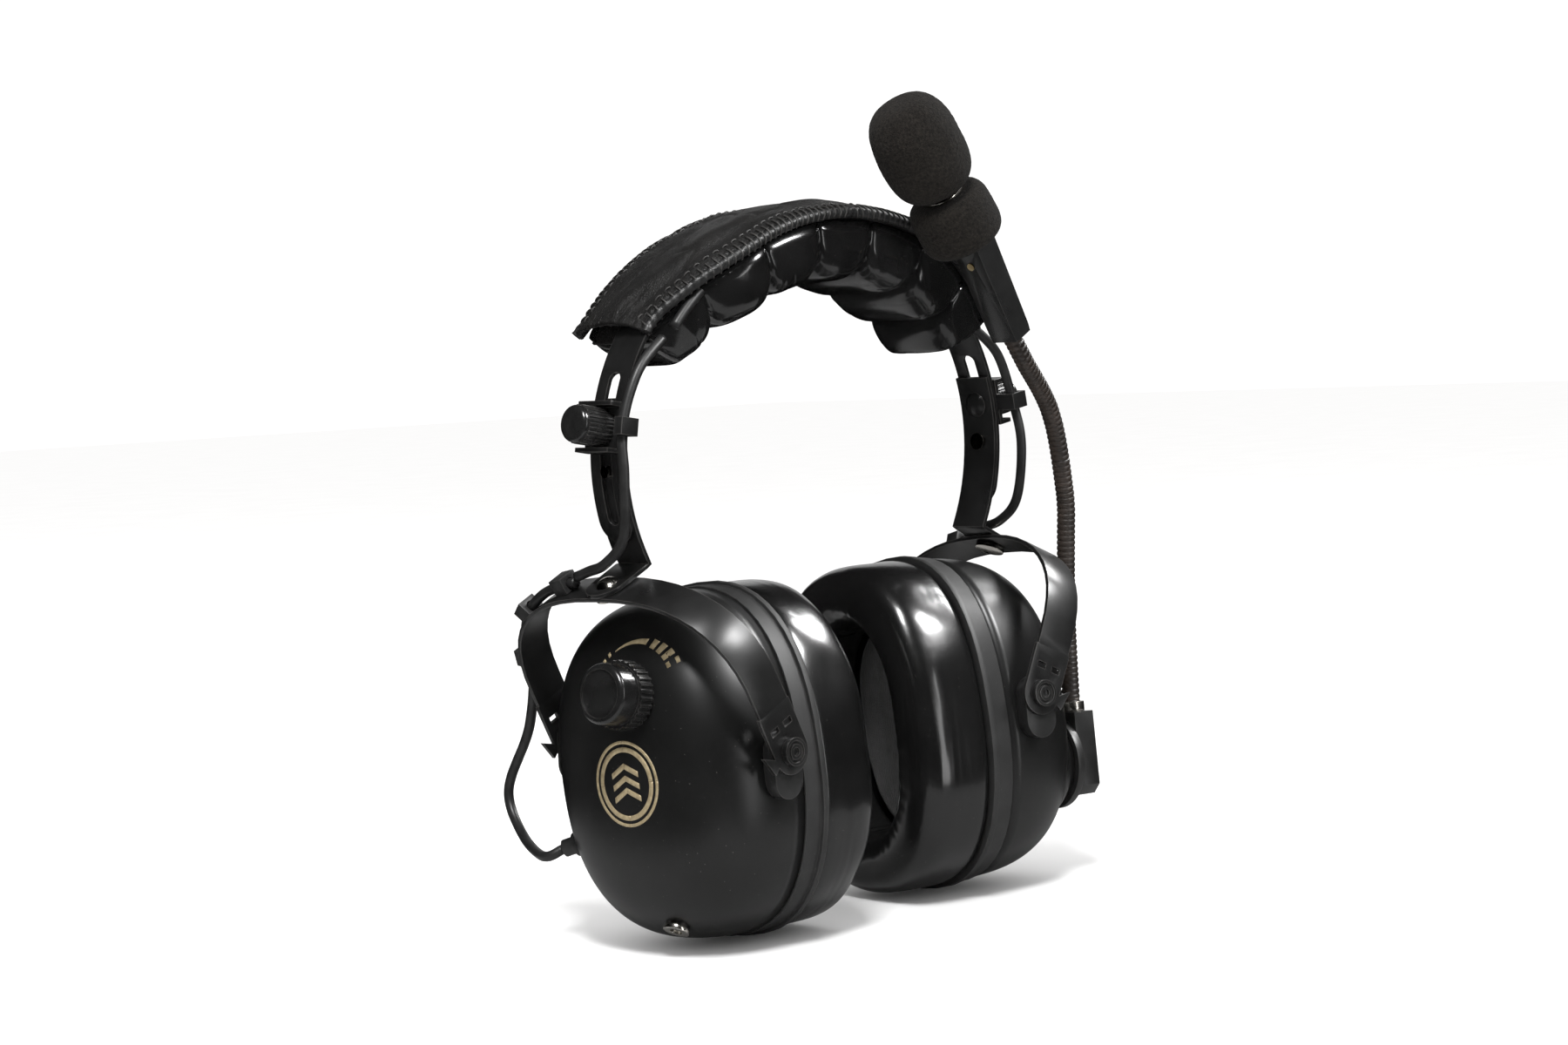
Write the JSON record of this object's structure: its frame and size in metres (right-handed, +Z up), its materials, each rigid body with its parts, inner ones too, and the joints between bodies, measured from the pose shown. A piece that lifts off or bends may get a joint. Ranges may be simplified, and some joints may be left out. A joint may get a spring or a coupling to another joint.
{
  "type": "aviation headset",
  "caption": "Passive aviation headset: oval ear cups on swivelling yokes, slotted spring headband with a quilted pad, and a gooseneck boom microphone.",
  "frame": {"origin": "on the floor, midway between the two cups, in the headband's middle plane", "axes": "+Z up, +X to the wearer's left, -Y the way the wearer faces"},
  "size_m": [0.1902, 0.1189, 0.2419],
  "materials": {
    "black_enamel": "satin black enamel on spring steel",
    "leatherette": "fine-grained black leatherette, stitched along its edges",
    "pad_vinyl": "glossy black vinyl",
    "seal_vinyl": "glossy black vinyl over gel",
    "cable_rubber": "matte black sheath",
    "nickel": "bright nickel",
    "knob_plastic": "polished black",
    "clip_plastic": "matte black",
    "gloss_shell": "gloss black moulding",
    "flange_plastic": "fine matte black",
    "mount_plastic": "satin black moulding",
    "foam": "open-cell foam",
    "speaker_metal": "satin",
    "grommet_rubber": "matte",
    "gooseneck_sleeve": "brown-black ribbed sleeve",
    "mic_plastic": "satin black",
    "brass": "bright",
    "muff_foam": "fine open-cell foam"
  },
  "bodies": {
    "headband": {"band_crown": "black_enamel", "head_pad_cover": "leatherette", "head_pad_cushion": "pad_vinyl", "crown_cable": "cable_rubber"},
    "right_arm": {"right_band_arm": "black_enamel"},
    "right_hanger": {"right_hanger_strip": "black_enamel", "right_clamp_bracket": "black_enamel", "right_clamp_bolt": "black_enamel", "right_stop_pin": "nickel", "right_swivel_rivet": "nickel", "right_upper_cable": "cable_rubber"},
    "right_clamp": {"right_clamp_knob": "knob_plastic"},
    "right_yoke": {"right_yoke_strap": "black_enamel", "right_cable_clips": "clip_plastic", "right_lower_cable": "cable_rubber"},
    "right_cup": {"right_cup_shell": "gloss_shell", "right_cup_flange": "flange_plastic", "right_ear_seal": "seal_vinyl", "right_ear_foam": "foam", "right_speaker_plate": "flange_plastic", "right_speaker": "speaker_metal", "right_dome_foam": "foam", "right_pivot_mounts": "mount_plastic", "right_pivot_screws": "black_enamel", "right_cable_grommet": "grommet_rubber", "volume_control": "nickel", "audio_jack": "nickel"},
    "left_arm": {"left_band_arm": "black_enamel"},
    "left_hanger": {"left_hanger_strip": "black_enamel", "left_clamp_bracket": "black_enamel", "left_clamp_bolt": "black_enamel", "left_stop_pin": "nickel", "left_swivel_rivet": "nickel", "left_upper_cable": "cable_rubber"},
    "left_clamp": {"left_clamp_knob": "knob_plastic"},
    "left_yoke": {"left_yoke_strap": "black_enamel", "left_cable_clips": "clip_plastic", "left_lower_cable": "cable_rubber"},
    "left_cup": {"left_cup_shell": "gloss_shell", "left_cup_flange": "flange_plastic", "left_ear_seal": "seal_vinyl", "left_ear_foam": "foam", "left_speaker_plate": "flange_plastic", "left_speaker": "speaker_metal", "left_dome_foam": "foam", "left_pivot_mounts": "mount_plastic", "left_pivot_screws": "black_enamel", "left_cable_grommet": "grommet_rubber"},
    "volume": {"volume_knob": "knob_plastic"},
    "boom_arm": {"boom_pivot": "mount_plastic", "boom_block": "mount_plastic", "boom_ferrule": "nickel", "gooseneck_lower": "gooseneck_sleeve"},
    "boom_middle": {"gooseneck_middle": "gooseneck_sleeve"},
    "mic_head": {"gooseneck_upper": "gooseneck_sleeve", "mic_housing": "mic_plastic", "mic_screw": "brass", "mic_capsule": "nickel", "lower_muff": "muff_foam", "upper_muff": "muff_foam"}
  },
  "joints": [
    {"name": "right_spread", "type": "hinge", "parent": "headband", "child": "right_arm", "pos_m": [-0.01392, 0, 0.2059], "axis": [0, 1, 0], "range_deg": [0, 22], "stiffness_Nm_per_rad": 4, "deforming": ["head_pad_cover", "head_pad_cushion", "crown_cable"]},
    {"name": "right_height", "type": "hinge", "parent": "right_arm", "child": "right_hanger", "pos_m": [-0.02, 0, 0.139], "axis": [0, -1, 0], "range_deg": [-4, 12], "deforming": ["right_upper_cable"]},
    {"name": "right_clamp_turn", "type": "hinge", "parent": "right_hanger", "child": "right_clamp", "pos_m": [-0.07916, 0, 0.14901], "axis": [0.986, 0, -0.1668], "continuous": true},
    {"name": "right_swivel", "type": "hinge", "parent": "right_hanger", "child": "right_yoke", "pos_m": [-0.08156, 0, 0.10411], "axis": [0.4384, 0, -0.8988], "range_deg": [-14, 14], "deforming": ["right_lower_cable"]},
    {"name": "right_tilt", "type": "hinge", "parent": "right_yoke", "child": "right_cup", "pos_m": [-0.05907, 0, 0.05801], "axis": [0.0157, -0.9998, 0.0077], "range_deg": [-12, 18]},
    {"name": "left_spread", "type": "hinge", "parent": "headband", "child": "left_arm", "pos_m": [0.01392, 0, 0.2059], "axis": [0, -1, 0], "range_deg": [0, 22], "stiffness_Nm_per_rad": 4},
    {"name": "left_height", "type": "hinge", "parent": "left_arm", "child": "left_hanger", "pos_m": [0.02, 0, 0.139], "axis": [0, 1, 0], "range_deg": [-4, 12], "deforming": ["left_upper_cable"]},
    {"name": "left_clamp_turn", "type": "hinge", "parent": "left_hanger", "child": "left_clamp", "pos_m": [0.07916, 0, 0.14901], "axis": [0.986, 0, 0.1668], "continuous": true},
    {"name": "left_swivel", "type": "hinge", "parent": "left_hanger", "child": "left_yoke", "pos_m": [0.08156, 0, 0.10411], "axis": [0.4384, 0, 0.8988], "range_deg": [-2, 24], "deforming": ["left_lower_cable"]},
    {"name": "left_tilt", "type": "hinge", "parent": "left_yoke", "child": "left_cup", "pos_m": [0.05907, 0, 0.05801], "axis": [0.1869, 0.9781, -0.0911], "range_deg": [-2.5, 18]},
    {"name": "volume_turn", "type": "hinge", "parent": "right_cup", "child": "volume", "pos_m": [-0.08404, -0.00848, 0.0749], "axis": [0.9837, 0.0776, -0.1624], "range_deg": [-150, 150]},
    {"name": "boom_rotate", "type": "hinge", "parent": "left_cup", "child": "boom_arm", "pos_m": [0.07921, -0.01874, 0.0357], "axis": [0.9822, -0.1877, 0], "range_deg": [0, 150]},
    {"name": "gooseneck_bend", "type": "hinge", "parent": "boom_arm", "child": "boom_middle", "pos_m": [0.0846, -0.029, 0.117], "axis": [0, 1, 0], "range_deg": [-15, 25], "deforming": ["gooseneck_middle"]},
    {"name": "gooseneck_bend_top", "type": "hinge", "parent": "boom_middle", "child": "mic_head", "pos_m": [0.075, -0.0326, 0.1445], "axis": [0, 1, 0], "range_deg": [-15, 25], "deforming": ["gooseneck_upper"]}
  ],
  "couplings": [
    {"joint": "gooseneck_bend_top", "follows": "gooseneck_bend", "ratio": 1}
  ]
}
